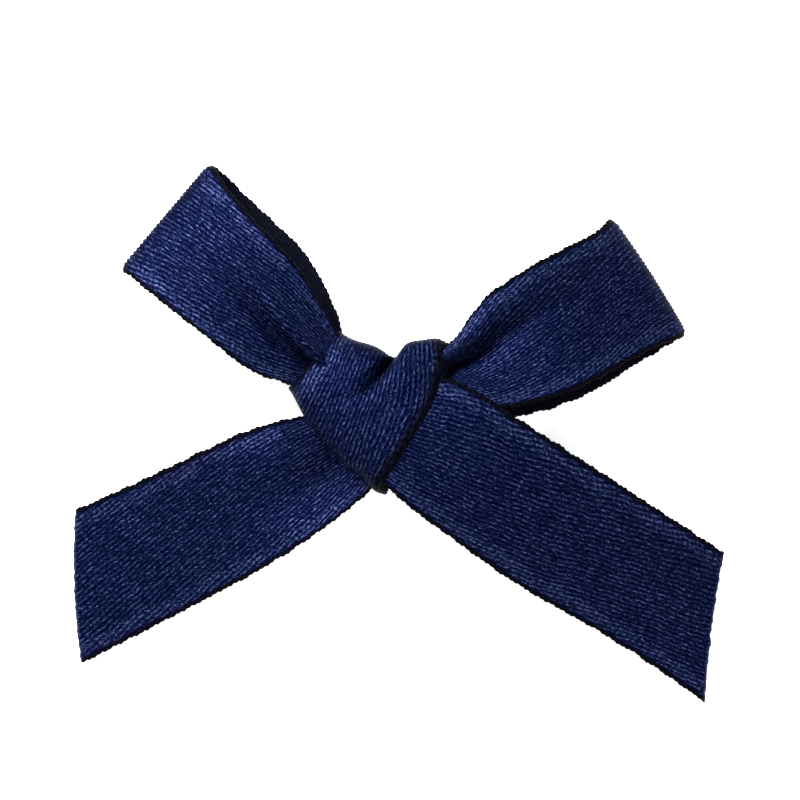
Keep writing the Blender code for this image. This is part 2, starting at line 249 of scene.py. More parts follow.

# Linear colours: the satin from the gaps between its yarns to its brightest fibres, whose brightness is
# partly the weave and partly painted highlight, and the rest
SATIN_COLOURS = [
    (0.0, (0.0, 0.0003, 0.0056)),
    (0.25, (0.0009, 0.0024, 0.0138)),
    (0.6, (0.0075, 0.0115, 0.0400)),
    (1.0, (0.0395, 0.0490, 0.1215)),
]
CORD_COLOURS = [
    (0.0, (0.0005, 0.0004, 0.0009)),
    (0.6, (0.0014, 0.0012, 0.0024)),
    (0.78, (0.012, 0.011, 0.014)),
]
BACK_COLOURS = [(0.35, (0.0008, 0.0009, 0.0024)), (0.8, (0.0048, 0.0052, 0.0100))]
# Painted highlight: a lighter navy on the melted bead at each cut
SEAL_HIGHLIGHT = (0.024, 0.030, 0.070)
NICKEL_COLOUR, NICKEL_ROUGHNESS = (0.46, 0.45, 0.43), 0.24
WIRE_COLOUR, WIRE_ROUGHNESS = (0.40, 0.40, 0.39), 0.3
GLUE_DARK, GLUE_LIGHT = (0.62, 0.58, 0.47, 1), (0.80, 0.78, 0.70, 1)
PAPER_COLOUR = (0.93, 0.93, 0.93, 1)
WHITE = (1, 1, 1, 1)

# Satin pattern. A stretch is a noise's frequency along and across the ribbon, per millimetre, and a range
# is the low and high of a smooth fade, with what it goes from and to where that isn't 0 to 1.
FIBRE_STRETCH = (1.7, 8.5, 1)
FINE_STRETCH = (5.0, 12.0, 1)
STREAK_STRETCH = (0.5, 9.0, 1)
CLOUD_SCALE = 0.35
ROW_WOBBLE = 0.5
FLOAT_WOBBLE = 1.6
STROKE_SHARPNESS = 1.6
STROKE_CONTRAST = (0.34, 0.66, 0.25, 1.1)
STROKE_LIGHT = 0.75
BEAD_SHARE = 0.4
GLINT_RANGE = (0.44, 0.70)
GLINT_STREAKS = (0.35, 0.65, 0.15, 0.75)
CLOUD_LIGHT, CLOUD_BASE = 0.4, 0.75
CLOTH_EDGE = (0.18, 0.42)
BAND_OUTER, BAND_INNER = (0.3, 0.6), (1.15, 1.5, 1, 0)
BAND_LIGHT = 0.35
RUNG_SLANT, RUNG_LIGHT = 0.6, 0.16
BACK_RIB_LIGHT = 0.2
SIDE_RANGE = (0.25, 0.75)
SEAL_RANGE, SEAL_PATCHES = (0.06, 0.26, 1, 0), (0.35, 0.65, 0.25, 0.9)
ROW_RELIEF, YARN_RELIEF = 0.7, 0.8
SATIN_BUMP = (0.6, 0.03)
GLUE_BUMP = (0.4, 0.1)
LUSTRE_ROUGHNESS = (0, 0.8, 0.62, 0.5)
BACK_ROUGHNESS = 0.85

# The yarns' coloured sheen: partly metallic, stretched across the floats, and dark at a grazing angle
SATIN_SHEEN = {
    "Anisotropic": 0.45,
    "Anisotropic Rotation": 0.25,
    "Metallic": 0.45,
    "Specular IOR Level": 0.06,
    "Specular Tint": (0.06, 0.08, 0.25, 1),
}

# Metal and glue: noise frequencies per metre, and the spread of roughness and colour about the base
BRUSH_SCALE, BRUSH_STRETCH = 900.0, (0.15, 1, 1)
BRUSH_ROUGHNESS = (0.8, 1.25)
BRUSH_DARKEST = 0.9
NOISE_RANGE = (0.3, 0.7)
GLUE_SCALE = 700.0
GLUE_ROUGHNESS = (0.18, 0.34)
GLUE_SUBSURFACE, GLUE_RADIUS = 0.3, (0.0012, 0.001, 0.0008)

# Stage, in metres: a floor that glows a little, so that shadows on it burn out, two round lights as
# (name, place, size, power), and the camera straight above the bow's middle
FLOOR_SIDE = 3.0
FLOOR_DROP = 0.00005
FLOOR_ROUGHNESS = 0.9
FLOOR_GLOW = 0.5
ROOM_LIGHT = 0.8
LIGHTS = (("key", (-0.26, 0.32, 0.42), 0.3, 12.5), ("fill", (0.30, -0.22, 0.42), 0.3, 1.4))
CAMERA_PLACE = (0.00015, 0.00275, 1.0)
VIEW_WIDTH = 0.06107
VIEW_HEIGHT_IN_BOW = 0.006
CAMERA_SENSOR = 36
CAMERA_NEAR = 0.01


def spline(guides, at):
    """Points at the fractions `at` of a natural cubic spline through the guide points."""
    guides = np.array(guides, float)
    chords = np.linalg.norm(np.diff(guides, axis=0), axis=1)
    knots = np.concatenate([[0.0], np.cumsum(chords)]) / chords.sum()
    gaps = np.diff(knots)[:, None]
    slopes = np.diff(guides, axis=0) / gaps
    system = np.eye(len(knots))
    bends = np.zeros_like(guides)
    for i in range(1, len(knots) - 1):
        system[i, i - 1 : i + 2] = gaps[i - 1, 0], 2 * (gaps[i - 1, 0] + gaps[i, 0]), gaps[i, 0]
        bends[i] = 6 * (slopes[i] - slopes[i - 1])
    bends = np.linalg.solve(system, bends)
    at = np.atleast_1d(at)
    part = np.clip(np.searchsorted(knots, at, side="right") - 1, 0, len(gaps) - 1)
    after = at[:, None] - knots[part][:, None]
    gap = gaps[part]
    curve = (bends[part + 1] - bends[part]) / (6 * gap)
    slope = slopes[part] - gap * (2 * bends[part] + bends[part + 1]) / 6
    return guides[part] + after * (slope + after * (bends[part] / 2 + after * curve))


def hump(value, centre, width):
    return np.exp(-(((value - centre) / width) ** 2))


def smoothstep(value, low, high):
    part = np.clip((value - low) / (high - low), 0, 1)
    return part * part * (3 - 2 * part)


def stations(step):
    """Distances across the ribbon, closer together at its two edges."""
    edge = np.array(EDGE_ROWS)
    rows = int((RIBBON_WIDTH - 2 * edge[-1]) / step) + 1
    inner = np.linspace(edge[-1], RIBBON_WIDTH - edge[-1], rows)
    return np.concatenate([edge[:-1], inner, RIBBON_WIDTH - edge[-2::-1]])


def even_steps(surface):
    """Fractions along the ribbon at equal lengths of its middle line, and that whole length."""
    trial = np.linspace(0, 1, TRIAL_COLUMNS)
    middle = surface(trial, np.array([0.5]))[:, 0]
    lengths = np.concatenate([[0], np.cumsum(np.linalg.norm(np.diff(middle, axis=0), axis=1))])
    steps = np.linspace(0, lengths[-1], int(lengths[-1] / COLUMN_STEP) + 1)
    return np.interp(steps, lengths, trial), lengths[-1]


def loop_surface(lower, upper, side, back_shift, relief, bulge=0.0, nub=0.0):
    """The middle surface of a loop: out along the front layer, round the fold and back behind.

    bulge is how far the fold bows outward, and nub how far its upper corner stands out."""
    reach = np.linalg.norm(np.subtract(lower[-1], lower[0]))
    outline = [(out * reach, height) for out, height in side]

    def surface(at, across):
        view = spline(outline, at)
        out = np.clip(view[:, 0] / reach, 0, 1)
        front = np.arange(len(out)) <= int(np.argmax(view[:, 0]))
        behind = np.where(front, 0, np.sin(math.pi * out) ** BACK_SHIFT_ONSET)
        low = spline(lower, out) + behind[:, None] * back_shift
        high = spline(upper, out) + behind[:, None] * back_shift
        share = across[None, :, None]
        plan = low[:, None] * (1 - share) + high[:, None] * share
        outward = unit(spline(lower, [1.0]) - spline(lower, [0.97]))[0]
        sideways = unit(high - low)[:, None]
        near_fold = smoothstep(out, FOLD_START, 1.0)[:, None]
        from_edge = np.minimum(across, 1 - across)[None, :] * RIBBON_WIDTH
        bowed = bulge * 4 * (across * (1 - across))[None, :] - FOLD_CORNER * hump(from_edge, 0, FOLD_CORNER)
        plan = plan + (near_fold * bowed)[..., None] * outward
        from_upper_edge = (1 - across)[None, :] * RIBBON_WIDTH
        swell = nub * hump(out, 1, NUB_REACH)[:, None] * hump(from_upper_edge, 0, NUB_WIDTH)
        plan = plan + swell[..., None] * sideways
        bump = relief(out[:, None], across[None, :])
        back_bump = BACK_RELIEF * bump * np.sin(math.pi * out)[:, None]
        height = view[:, 1][:, None] + np.where(front[:, None], bump, back_bump)
        return np.dstack([plan, height])

    return surface


def left_loop_relief(out, across):
    near, tight = hump(out, 0.0, LEFT_LOOP_REACH), hump(out, LEFT_PLEAT_START, LEFT_LOOP_REACH)
    arch = (LEFT_ARCH + LEFT_ARCH_AT_KNOT * near) * 4 * across * (1 - across)
    height, place, width = LEFT_HOLLOW
    hollow = height * tight * hump(across, place + LEFT_PLEAT_SLANT * out, width)
    height, place, width = LEFT_RIDGE
    ridge = height * tight * hump(across, place + LEFT_PLEAT_SLANT * out, width)
    return arch + hollow + ridge - LEFT_ARCH_DROP


def right_loop_relief(out, across):
    near = hump(out, 0.0, RIGHT_LOOP_REACH)
    step = smoothstep(across, *RIGHT_RIDGE_RISE)
    fall = smoothstep(across, *RIGHT_FALL_RANGE)
    ridge = (RIGHT_RIDGE * step - RIGHT_RIDGE_FALL * fall) * near * smoothstep(out, *RIGHT_RIDGE_ONSET)
    depth, place, width = RIGHT_CREASE
    lower = (RIGHT_SINK * (1 - step) + depth * hump(across, place, width)) * near
    return ridge + lower + RIGHT_ARCH * np.sin(math.pi * across) * (1 - near)


def tail_surface(lower, upper, relief, bulge):
    """The middle surface of a tail, from its foot under the knot to its cut, which bows by `bulge`."""

    def surface(at, across):
        low, high = spline(lower, at), spline(upper, at)
        share = across[None, :, None]
        points = low[:, None] * (1 - share) + high[:, None] * share
        points[..., 2] += relief(at[:, None], across[None, :])
        along = unit(spline(lower, [1.0]) - spline(lower, [0.98]))
        end = smoothstep(at, CUT_BULGE_START, 1.0)[:, None, None]
        return points + end * (bulge * 4 * across * (1 - across))[None, :, None] * along[None]

    return surface


def left_tail_relief(at, across):
    height, place, width = LEFT_TAIL_ARCH
    arch = height * hump(at, *LEFT_TAIL_ARCH_ALONG) * hump(across, place, width)
    height, place, width = LEFT_TAIL_HOLLOW
    hollow = height * hump(at, *LEFT_TAIL_HOLLOW_ALONG) * hump(across, place, width)
    return arch + hollow + LEFT_TAIL_CROWN * np.sin(math.pi * across)


def right_tail_relief(at, across):
    return RIGHT_TAIL_CROWN * np.sin(math.pi * across) * (1 - RIGHT_TAIL_FLATTEN * at)


def wrap_surface(at, across):
    """The band round the knot: up its front from the lower left bend, over the top and down its back."""
    turn = 2 * math.pi * at
    cosine, sine = np.cos(turn), np.sin(turn)
    up = (0.5 - 0.5 * np.sign(cosine) * np.abs(cosine) ** WRAP_SQUARENESS)[:, None]
    rise = (np.sign(sine) * np.abs(sine) ** WRAP_SQUARENESS)[:, None]
    bottom, top = spline(WRAP_BOTTOM, across), spline(WRAP_TOP, across)
    across = across[None, :]
    plan = bottom[None] * (1 - up[..., None]) + top[None] * up[..., None]
    front = smoothstep(rise, *WRAP_FRONT_RANGE)
    belly = front * smoothstep(across, WRAP_BELLY_START, 1.0) * np.sin(math.pi * up**WRAP_BELLY_BIAS)
    plan = plan + belly[..., None] * np.array(WRAP_BELLY)
    crown = WRAP_CROWN * np.sin(math.pi * across) * np.sin(math.pi * up)
    left_curl = WRAP_LEFT_CURL[0] * hump(across, *WRAP_LEFT_CURL[1:])
    right_curl = WRAP_RIGHT_CURL[0] * hump(across, *WRAP_RIGHT_CURL[1:])
    front_height = WRAP_FRONT + crown - left_curl - right_curl - WRAP_TOP_DROP * up
    middle, half = (front_height + WRAP_BACK) / 2, (front_height - WRAP_BACK) / 2
    depth, place, width = WRAP_CREASE
    crease_at = place + WRAP_CREASE_SLANT * up
    crease = depth * smoothstep(up, *WRAP_CREASE_RANGE) * hump(across, crease_at, width)
    height, beside, width = WRAP_LOBE
    lobe = height * smoothstep(up, *WRAP_LOBE_RANGE) * hump(across, crease_at + beside, width)
    return np.dstack([plan, middle + half * rise + front * (crease + lobe)])


def unit(vectors):
    return vectors / np.maximum(np.linalg.norm(vectors, axis=-1, keepdims=True), 1e-9)


def wander(count, spacing, seed):
    """Smooth random values along `count` columns, one new value each `spacing` columns."""
    values = np.random.default_rng(seed).normal(0, 1, count // spacing + 3)
    guides = np.column_stack([np.arange(len(values)) * 1.0, values])
    return spline(guides, np.linspace(0, 1, count))[:, 1]


def weave_drift(warp, weft, seed):
    """How far the yarns stray sideways, as a sum of long waves that die out at the edges."""
    draw = np.random.default_rng(seed)
    drift = np.zeros_like(warp)
    for size, along, sideways in DRIFT_WAVES:
        turn = draw.uniform(0, 2 * math.pi, 2)
        drift += size * np.sin(along * warp + turn[0] + sideways * weft) * np.cos(sideways * weft + turn[1])
    return drift * np.clip(np.minimum(weft, RIBBON_WIDTH - weft) / DRIFT_EDGE, 0, 1)


def ribbon_side(surface, at, weft, closed, cut_end, seed):
    """One side's grid: middle points, unit normals, half thickness, and where each is on the weave."""
    points = surface(at, weft / RIBBON_WIDTH)
    columns = len(at)
    if closed:
        around = np.concatenate([points[-2:-1], points, points[1:2]])
        along = around[2:] - around[:-2]
    else:
        along = np.gradient(points, axis=0)
    sideways = np.gradient(points, axis=1)
    normal, outward, forward = unit(np.cross(along, sideways)), unit(sideways), unit(along)
    steps = np.linalg.norm(np.diff(points, axis=0), axis=2)
    travelled = np.concatenate([np.zeros((1, len(weft))), np.cumsum(steps, axis=0)])
    from_middle = points[0] - points[0, len(weft) // 2]
    start = 0 if closed else (from_middle * forward[0]).sum(axis=1)[None, :]
    warp = travelled + start
    to_cut = travelled[-1][None, :] - travelled
    grid_weft = np.repeat(weft[None, :], columns, axis=0)
    from_edge = np.minimum(grid_weft, RIBBON_WIDTH - grid_weft)

    inside = np.minimum(from_edge, CORD_RADIUS)
    rounded = np.sqrt(np.maximum(CORD_RADIUS**2 - (inside - CORD_RADIUS) ** 2, 0))
    swelling = 1 - smoothstep(from_edge, CORD_RADIUS, CORD_FADE)
    body = RIBBON_HALF + (CORD_RADIUS - RIBBON_HALF) * swelling
    half = np.where(from_edge < CORD_RADIUS, rounded, body)
    for edge, sign in ((0, -1), (-1, 1)):
        near = 1 - smoothstep(np.abs(weft - weft[edge]), CORD_CORE, CORD_FADE)[None, :]
        regular = SCALLOP_REGULAR * np.cos(2 * math.pi * warp[:, edge] / SCALLOP_PITCH)
        bump = regular + SCALLOP_RANDOM * wander(columns, SCALLOP_SPACING, seed + edge)
        points = points + (sign * near * SCALLOP_DEPTH * bump[:, None])[..., None] * outward
        half = half * (1 + CORD_SWELL * near * bump[:, None])
    if cut_end:
        half = half * (1 + SEAL_SWELL * hump(to_cut, SEAL_AT, SEAL_WIDTH))
        notches = wander(RAGGED_STEPS, 1, seed + 9)
        ragged = RAGGED_DEPTH * np.interp(weft, np.linspace(0, RIBBON_WIDTH, RAGGED_STEPS), notches)
        points = points + (hump(to_cut, 0, RAGGED_REACH) * ragged[None, :])[..., None] * forward
    return points, normal, half, warp, grid_weft, to_cut


def weave_phase(warp, weft):
    """Which of the slanting lines of the weave a place is on."""
    return (weft * math.cos(WEAVE_SLANT) - warp * math.sin(WEAVE_SLANT)) / WEAVE_PITCH


def ribbon(name, surface, closed=False, cut_end=False, rim=0.0, seed=1):
    """A ribbon with real thickness, corded edges, raised weave and, on a tail, a sealed end.

    closed joins its last column to its first. rim is how far the edge cord's dark colour reaches in from the
    far edge as painted shade, where the ribbon rolls under out of the light. The result is the object and
    the length of its middle line."""
    at, length = even_steps(surface)
    wefts = {side: stations(step) for side, step in (("satin", SATIN_STEP), ("back", BACK_STEP))}
    sides = {side: ribbon_side(surface, at, weft, closed, cut_end, seed) for side, weft in wefts.items()}
    normal = sides["satin"][1]
    # The satin side is the one that faces up a quarter of the way along
    handed = 1 if normal[len(at) // 4, len(wefts["satin"]) // 2, 2] > 0 else -1
    rings, coordinates, cuts, marks, shades = [], [], [], [], []
    for side, facing in (("satin", handed), ("back", -handed)):
        points, normal, half, warp, weft, to_cut = sides[side]
        if closed:
            # The weave meets itself where the band joins
            warp = warp * (round(warp[-1].mean() / WEAVE_PITCH) * WEAVE_PITCH / warp[-1])
        weft_drifted = handed * (weft + weave_drift(warp, weft, seed))
        lift = half
        if side == "satin":
            from_edge = np.minimum(weft, RIBBON_WIDTH - weft)
            ridge = 0.5 * np.cos(2 * math.pi * weave_phase(warp, weft_drifted))
            bend = np.linalg.norm(np.gradient(normal, axis=0), axis=2) / COLUMN_STEP
            relief = WEAVE_RELIEF * (1 + BENT_GAIN * smoothstep(bend, *BENT_RANGE))
            lift = half + relief * ridge * smoothstep(from_edge, *WEAVE_EDGE)
        ring = points + facing * lift[..., None] * normal
        # The two sides share their edge points, and the back's run the other way round the ribbon
        keep = slice(None) if side == "satin" else slice(-2, 0, -1)
        rings.append(ring[:, keep])
        coordinates.append(np.dstack([warp, weft_drifted])[:, keep])
        cuts.append((to_cut if cut_end else np.full_like(to_cut, FAR_FROM_CUT))[:, keep])
        marks.append(np.full(ring[:, keep].shape[1], 1.0 if side == "satin" else 0.0))
        # Painted shade: the cord's dark colour, from the far edge in, where the ribbon rolls under (none
        # unless rim is given)
        rolled = 0 * weft[0]
        if rim:
            rolled = RIM_SHADE * (1 - smoothstep(RIBBON_WIDTH - weft[0], 0.5 * rim, rim))
        shades.append(rolled[keep])
    ring, coordinates = np.concatenate(rings, axis=1), np.concatenate(coordinates, axis=1)
    cuts, marks, shades = np.concatenate(cuts, axis=1), np.concatenate(marks), np.concatenate(shades)
    around = ring.shape[1]
    columns = len(at) - 1 if closed else len(at)

    column, row = np.meshgrid(np.arange(len(at) - 1), np.arange(around), indexing="ij")
    next_row = (row + 1) % around
    corner_columns = np.stack([column, column + 1, column + 1, column], axis=-1).reshape(-1, 4)
    corner_rows = np.stack([row, row, next_row, next_row], axis=-1).reshape(-1, 4)
    faces = ((corner_columns % columns) * around + corner_rows).tolist()
    uv = coordinates[corner_columns, corner_rows].reshape(-1, 2)
    if not closed:
        for column in (0, columns - 1):
            rows = cap_rows(wefts, around)
            rows = rows if column == 0 else [face[::-1] for face in rows]
            faces += [[column * around + row for row in face] for face in rows]
            uv = np.concatenate([uv, coordinates[column, [row for face in rows for row in face]]])

    mesh = bpy.data.meshes.new(name)
    mesh.from_pydata((ring[:columns].reshape(-1, 3) * MM).tolist(), [], faces)
    layer = mesh.uv_layers.new(name="ribbon")
    layer.data.foreach_set("uv", uv.astype(np.float32).ravel())
    values_of = {
        "satin": np.tile(marks, columns),
        "shade": np.tile(shades, columns),
        "to_cut": cuts[:columns].ravel(),
    }
    for mark, values in values_of.items():
        mesh.attributes.new(mark, "FLOAT", "POINT").data.foreach_set("value", values.astype(np.float32))
    turned = signed_volume(ring[:columns].reshape(-1, 3), np.array(faces[: (len(at) - 1) * around]))
    if turned < 0:
        mesh.flip_normals()
    mesh.shade_smooth()
    obj = bpy.data.objects.new(name, mesh)
    bpy.context.scene.collection.objects.link(obj)
    return obj, length


def cap_rows(wefts, around):
    """The triangles that close an end, between the satin side's steps and the back side's wider ones."""
    seen = len(wefts["satin"])
    back = [0] + list(range(around - 1, seen - 1, -1)) + [seen - 1]
    i, j, faces = 0, 0, []
    while i < seen - 1 or j < len(back) - 1:
        if j == len(back) - 1 or (i < seen - 1 and wefts["satin"][i + 1] <= wefts["back"][j + 1]):
            face, i = [i, i + 1, back[j]], i + 1
        else:
            face, j = [i, back[j + 1], back[j]], j + 1
        if len(set(face)) == 3:
            faces.append(face)
    return faces


def signed_volume(points, quads):
    """Above zero where the faces look outward."""
    first, second, third, fourth = (points[quads[:, i]] for i in range(4))
    return (first * np.cross(second, third)).sum() + (first * np.cross(third, fourth)).sum()


def core_surface(at, across):
    """The ribbon rolled round on itself like a flat scroll, its edges just overlapping."""
    turn = 2 * math.pi * CORE_TURNS * across
    grow = CORE_START + CORE_GROWTH * across
    along = np.array([math.cos(CORE_HEADING), math.sin(CORE_HEADING)])
    side = np.array([-along[1], along[0]])
    reach = (at - 0.5)[:, None] * CORE_LENGTH
    out = (CORE_HALF[0] * grow * np.cos(turn))[None, :]
    plan = np.array(CORE_CENTRE[:2]) + reach[..., None] * along + out[..., None] * side
    height = CORE_CENTRE[2] + (CORE_HALF[1] * grow * np.sin(turn))[None, :] + 0 * reach
    return np.dstack([plan, height])


def to_world(points):
    """From the clip's own side view, X to the tip, Y across and Z up, to the model's frame."""
    cosine, sine = math.cos(CLIP_HEADING), math.sin(CLIP_HEADING)
    x, y, z = (points[..., i] for i in range(3))
    world_x = CLIP_CENTRE[0] + x * cosine - y * sine
    world_y = CLIP_CENTRE[1] + x * sine + y * cosine
    return np.stack([world_x, world_y, z], axis=-1)


def lofts(name, bodies):
    """One mesh of closed bodies, each the rings of its points and whether the last ring joins the first."""
    points, faces = [], []
    for rings, joined in bodies:
        count, around = rings.shape[:2]
        flat = to_world(rings).reshape(-1, 3)
        spans = count if joined else count - 1
        first, second = np.meshgrid(np.arange(spans), np.arange(around), indexing="ij")
        after, beside = (first + 1) % count, (second + 1) % around
        corners = [
            first * around + second, after * around + second,
            after * around + beside, first * around + beside,
        ]
        quads = np.stack(corners, axis=-1).reshape(-1, 4)
        last_ring = list(range(count * around - 1, (count - 1) * around - 1, -1))
        caps = [] if joined else [list(range(around)), last_ring]
        if signed_volume(flat - flat.mean(axis=0), quads) < 0:
            quads, caps = quads[:, ::-1], [cap[::-1] for cap in caps]
        start = len(points)
        points += (flat * MM).tolist()
        faces += (quads + start).tolist() + [[start + i for i in cap] for cap in caps]
    mesh = bpy.data.meshes.new(name)
    mesh.from_pydata(points, [], faces)
    mesh.shade_smooth()
    obj = bpy.data.objects.new(name, mesh)
    bpy.context.scene.collection.objects.link(obj)
    return obj


def rounded_box(half_width, half_height, radius, steps=4):
    """The outline of a rectangle with rounded corners, as (sideways, up) pairs."""
    corners = []
    for quarter, (x, z) in enumerate(((1, 1), (-1, 1), (-1, -1), (1, -1))):
        for i in range(steps + 1):
            angle = math.pi / 2 * (quarter + i / steps)
            corners.append((x * (half_width - radius) + radius * math.cos(angle),
                            z * (half_height - radius) + radius * math.sin(angle)))
    return np.array(corners)


def steel_strip(line):
    """Rings along a strip of bent steel sheet with rounded edges, corners and a narrowed tip."""
    lengths = np.concatenate([[0], np.cumsum(np.linalg.norm(np.diff(line, axis=0), axis=1))])
    whole = lengths[-1]
    close = CORNER_RADIUS * (1 - np.cos(np.linspace(0, math.pi / 2, CORNER_STEPS)))
    between = np.linspace(CORNER_RADIUS, whole - CORNER_RADIUS, STRIP_STEPS)[1:-1]
    at = np.concatenate([close, between, whole - close[::-1]])
    middle = np.column_stack([np.interp(at, lengths, line[:, i]) for i in range(2)])
    along = unit(np.gradient(middle, axis=0))
    from_tip = np.clip((whole - at) / TIP_LENGTH, 0, 1)
    width = TIP_WIDTH + (CLIP_WIDTH - TIP_WIDTH) * np.sin(math.pi / 2 * from_tip)
    into_corner = np.clip(1 - np.minimum(at, whole - at) / CORNER_RADIUS, 0, 1)
    half_width = width / 2 - CORNER_RADIUS * (1 - np.sqrt(1 - into_corner**2)) * CORNER_CUT
    thin = np.where(np.minimum(at, whole - at) < 1e-6, END_THINNING, 1.0)
    rings = []
    for (x, z), (run, climb), half, share in zip(middle, along, half_width, thin):
        outline = rounded_box(half, CLIP_SHEET / 2 * share, EDGE_RADIUS * share)
        rings.append(np.column_stack([x - climb * outline[:, 1], outline[:, 0], z + run * outline[:, 1]]))
    return np.array(rings), False


def ear(centre, far_end):
    """A lug round the pin's hole, from its round eye to the sheet at height far_end."""
    turn = np.linspace(0, 2 * math.pi, EAR_STEPS, endpoint=False)
    sign = 1 if far_end > PIVOT[1] else -1
    tall = abs(far_end - PIVOT[1])
    towards = np.maximum(np.sin(turn) * sign, 1e-6)
    square = np.minimum(EAR_RADIUS / np.maximum(np.abs(np.cos(turn)), 1e-6), tall / towards)
    outer = np.where(np.sin(turn) * sign > 0, square, EAR_RADIUS)
    hole = PIN_RADIUS + PIN_CLEARANCE
    rings = []
    for angle, far in zip(turn, outer):
        outline = rounded_box((far - hole) / 2, EAR_THICK / 2, EAR_EDGE, 2)
        radius = (far + hole) / 2 + outline[:, 0]
        rings.append(np.column_stack([PIVOT[0] + radius * math.cos(angle), centre + outline[:, 1],
                                      PIVOT[1] + radius * math.sin(angle)]))
    return np.array(rings), True


def turned(profile):
    """A solid turned about the pin's axis, from (radius, sideways) pairs."""
    turn = np.linspace(0, 2 * math.pi, PIN_STEPS, endpoint=False)
    rings = [
        np.column_stack([
            PIVOT[0] + radius * np.cos(turn), np.full(PIN_STEPS, side), PIVOT[1] + radius * np.sin(turn)
        ])
        for radius, side in profile
    ]
    return np.array(rings), False


def pin_profile():
    """The rivet's outline: its shank, its shoulder and a domed head, mirrored to the other side."""
    shoulder = CLIP_WIDTH / 2 + EAR_GAP
    rise = PIN_HEAD_LENGTH - PIN_HEAD_RIM
    dome = [
        (PIN_HEAD_RADIUS * math.cos(angle), shoulder + PIN_HEAD_RIM + rise * math.sin(angle))
        for angle in np.linspace(0, 0.49 * math.pi, 8)
    ]
    half = [(PIN_RADIUS, 0), (PIN_RADIUS, shoulder), (PIN_HEAD_RADIUS, shoulder), *dome]
    return [(radius, -side) for radius, side in half[:0:-1]] + half


def spring_wire():
    """The torsion spring: a leg under the plate, its turns round the pin, and a leg above the finger tab."""
    half = SPRING_TURNS * SPRING_PITCH / 2
    upper = PLATE_HEIGHT - CLIP_SHEET / 2 - SPRING_WIRE / 2 - EAR_GAP
    lower = JAW_FLOOR + CLIP_SHEET / 2 + SPRING_WIRE / 2 + EAR_GAP
    sweep = 2 * math.pi * SPRING_TURNS + math.pi
    part = np.linspace(0, 1, COIL_STEPS)
    angle = math.pi / 2 - sweep * part
    coil = np.column_stack([PIVOT[0] + SPRING_RADIUS * np.cos(angle), half * (2 * part - 1),
                            PIVOT[1] + SPRING_RADIUS * np.sin(angle)])
    leg = np.linspace(0, 1, LEG_STEPS)[:-1, None]
    first = np.array([SPRING_LEG_END, -half, upper]) * (1 - leg) + coil[0] * leg
    last = coil[-1] * leg[::-1] + np.array([SPRING_LEG_END, half, lower]) * (1 - leg[::-1])
    path = np.concatenate([first, coil, last])
    forward = unit(np.gradient(path, axis=0))
    across = unit(np.cross(forward, [0.0, 1.0, 0.0]) + 1e-9)
    up = np.cross(across, forward)
    turn = np.linspace(0, 2 * math.pi, WIRE_SIDES, endpoint=False)
    size = np.full(len(path), SPRING_WIRE / 2)
    size[[0, -1]] *= SPRING_TIP_TAPER
    ring = np.cos(turn)[None, :, None] * across[:, None] + np.sin(turn)[None, :, None] * up[:, None]
    return path[:, None] + size[:, None, None] * ring, False


def glue_drop():
    """Hot glue pressed out between the plate and the knot, with a bulging, uneven rim."""
    turn = np.linspace(0, 2 * math.pi, GLUE_STEPS, endpoint=False)
    uneven = 1 + sum(size * np.sin(waves * turn + phase) for size, waves, phase in GLUE_WAVES)
    cosine, sine = np.cos(turn), np.sin(turn)
    rings = []
    for share, level in GLUE_RIM:
        x = GLUE_SIZE[0] / 2 * share * uneven * np.sign(cosine) * np.abs(cosine) ** GLUE_SQUARENESS
        y = GLUE_SIZE[1] / 2 * share * uneven * np.sign(sine) * np.abs(sine) ** GLUE_SQUARENESS
        rings.append(np.column_stack([x, y, np.full(len(turn), GLUE_LOW + (GLUE_HIGH - GLUE_LOW) * level)]))
    return np.array(rings), False


